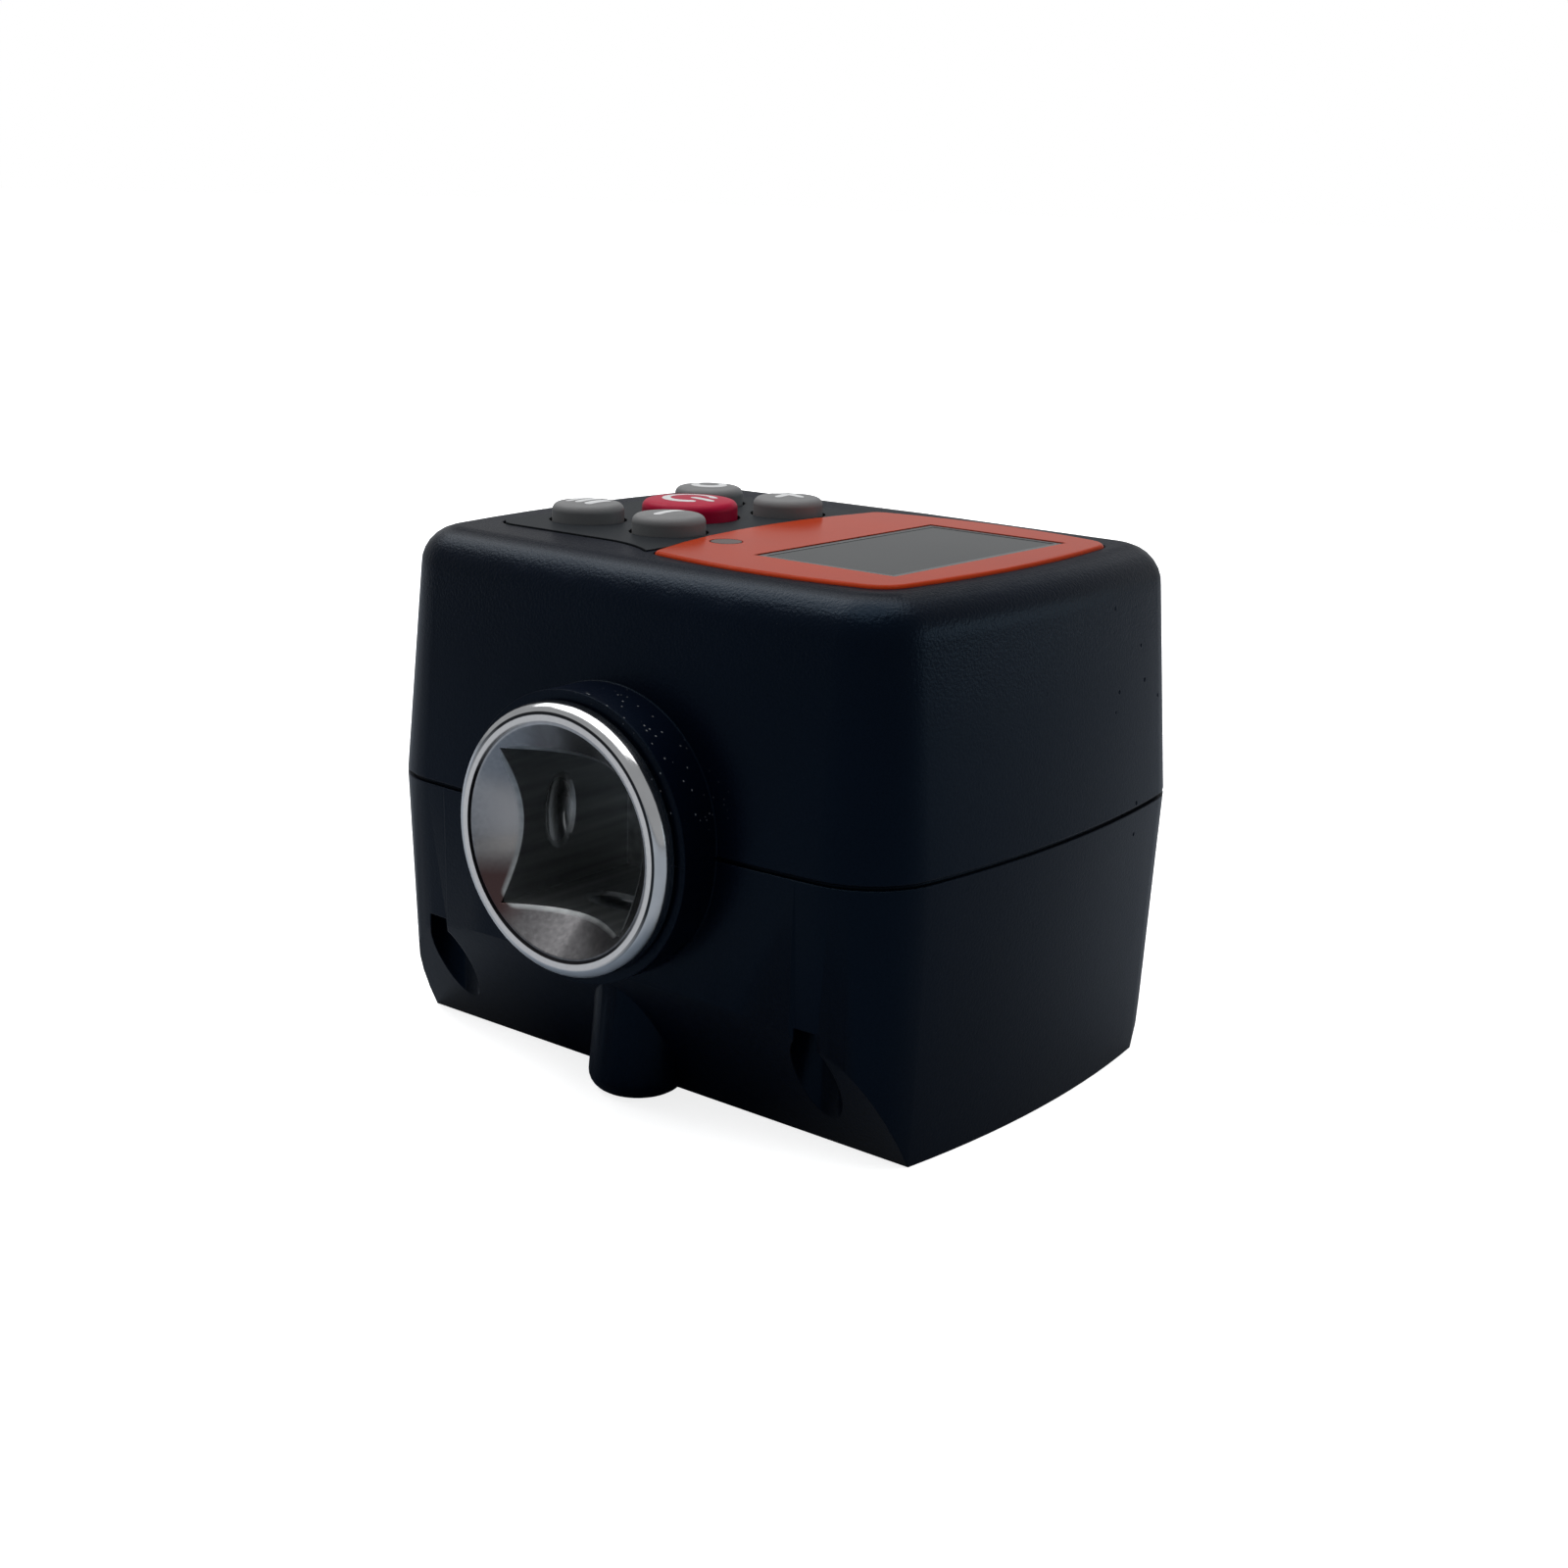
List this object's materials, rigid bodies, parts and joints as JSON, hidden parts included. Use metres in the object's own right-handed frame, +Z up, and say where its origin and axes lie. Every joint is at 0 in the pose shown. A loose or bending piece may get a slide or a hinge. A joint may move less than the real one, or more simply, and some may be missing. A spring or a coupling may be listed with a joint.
{
  "type": "digital torque meter",
  "caption": "Digital torque meter: an in-line adapter with a female square socket in front, a male square behind, and a display, keys and indicator on a black moulded case",
  "frame": {"origin": "centre of the female square's mouth, on the drive axis, in the plane of the socket's face", "axes": "+Y along the drive axis towards the male square, +Z up through the display face, +X towards the display's side of the case"},
  "size_m": [0.058, 0.0769, 0.0467],
  "materials": {
    "case_black": "fine matt moulded texture",
    "bezel_orange": "glossy orange red",
    "lens_smoke": "glossy grey window over a resting display",
    "keypad_dark": "smooth dark sheet",
    "key_grey": "matt mid grey",
    "key_red": "matt crimson",
    "switch_black": "dull black",
    "switch_body": "dull light grey",
    "board_green": "solder mask",
    "lcd_glass": "clear glass over a grey-green cell",
    "white_plastic": "white plastic",
    "strip_pink": "soft conductive rubber strip",
    "indicator_red": "dark clear lens",
    "drive_steel": "satin chrome plate over hardened steel",
    "screw_black": "black zinc",
    "spring_steel": "plated steel",
    "gauge_film": "amber film",
    "seal_rubber": "black rubber",
    "cell_wrap": "plain blue grey sleeve",
    "wire_jacket": "red and black wire jackets"
  },
  "bodies": {
    "meter": {"upper_case": "case_black", "lower_case": "case_black", "display_bezel": "bezel_orange", "display_lens": "lens_smoke", "keypad_panel": "keypad_dark", "sounder": "switch_black", "chips": "switch_black", "switch_bodies": "switch_body", "main_board": "board_green", "lcd_glass": "lcd_glass", "lcd_frame": "white_plastic", "lcd_backlight": "white_plastic", "indicator_led": "white_plastic", "lcd_strips": "strip_pink", "indicator_lens": "indicator_red", "torque_shaft": "drive_steel", "case_screws": "screw_black", "detent_spring": "spring_steel", "board_screws": "spring_steel", "bridge_contact": "spring_steel", "terminal_contacts": "spring_steel", "contact_springs": "spring_steel", "strain_gauges": "gauge_film", "gauge_flex": "gauge_film", "front_seal": "seal_rubber", "rear_seal": "seal_rubber", "battery_cells": "cell_wrap", "battery_wires": "wire_jacket"},
    "mode_key": {"key_mode": "key_grey", "plunger_mode": "switch_black"},
    "minus_key": {"key_minus": "key_grey", "plunger_minus": "switch_black"},
    "power_key": {"key_power": "key_red", "plunger_power": "switch_black"},
    "clear_key": {"key_clear": "key_grey", "plunger_clear": "switch_black"},
    "plus_key": {"key_plus": "key_grey", "plunger_plus": "switch_black"},
    "detent": {"detent_ball": "drive_steel"},
    "door": {"battery_door": "case_black"}
  },
  "joints": [
    {"name": "mode_key_press", "type": "slide", "parent": "meter", "child": "mode_key", "axis": [0, 0, -1], "range_m": [0, 0.0006], "stiffness_N_per_m": 700, "springref_m": -0.0008},
    {"name": "minus_key_press", "type": "slide", "parent": "meter", "child": "minus_key", "axis": [0, 0, -1], "range_m": [0, 0.0006], "stiffness_N_per_m": 700, "springref_m": -0.0008},
    {"name": "power_key_press", "type": "slide", "parent": "meter", "child": "power_key", "axis": [0, 0, -1], "range_m": [0, 0.0006], "stiffness_N_per_m": 700, "springref_m": -0.0008},
    {"name": "clear_key_press", "type": "slide", "parent": "meter", "child": "clear_key", "axis": [0, 0, -1], "range_m": [0, 0.0006], "stiffness_N_per_m": 700, "springref_m": -0.0008},
    {"name": "plus_key_press", "type": "slide", "parent": "meter", "child": "plus_key", "axis": [0, 0, -1], "range_m": [0, 0.0006], "stiffness_N_per_m": 700, "springref_m": -0.0008},
    {"name": "detent_press", "type": "slide", "parent": "meter", "child": "detent", "axis": [0, 0, -1], "range_m": [0, 0.001], "stiffness_N_per_m": 3000, "springref_m": -0.001, "deforming": ["detent_spring"]},
    {"name": "door_slide", "type": "slide", "parent": "meter", "child": "door", "axis": [0, 1, 0], "range_m": [0, 0.042]}
  ]
}
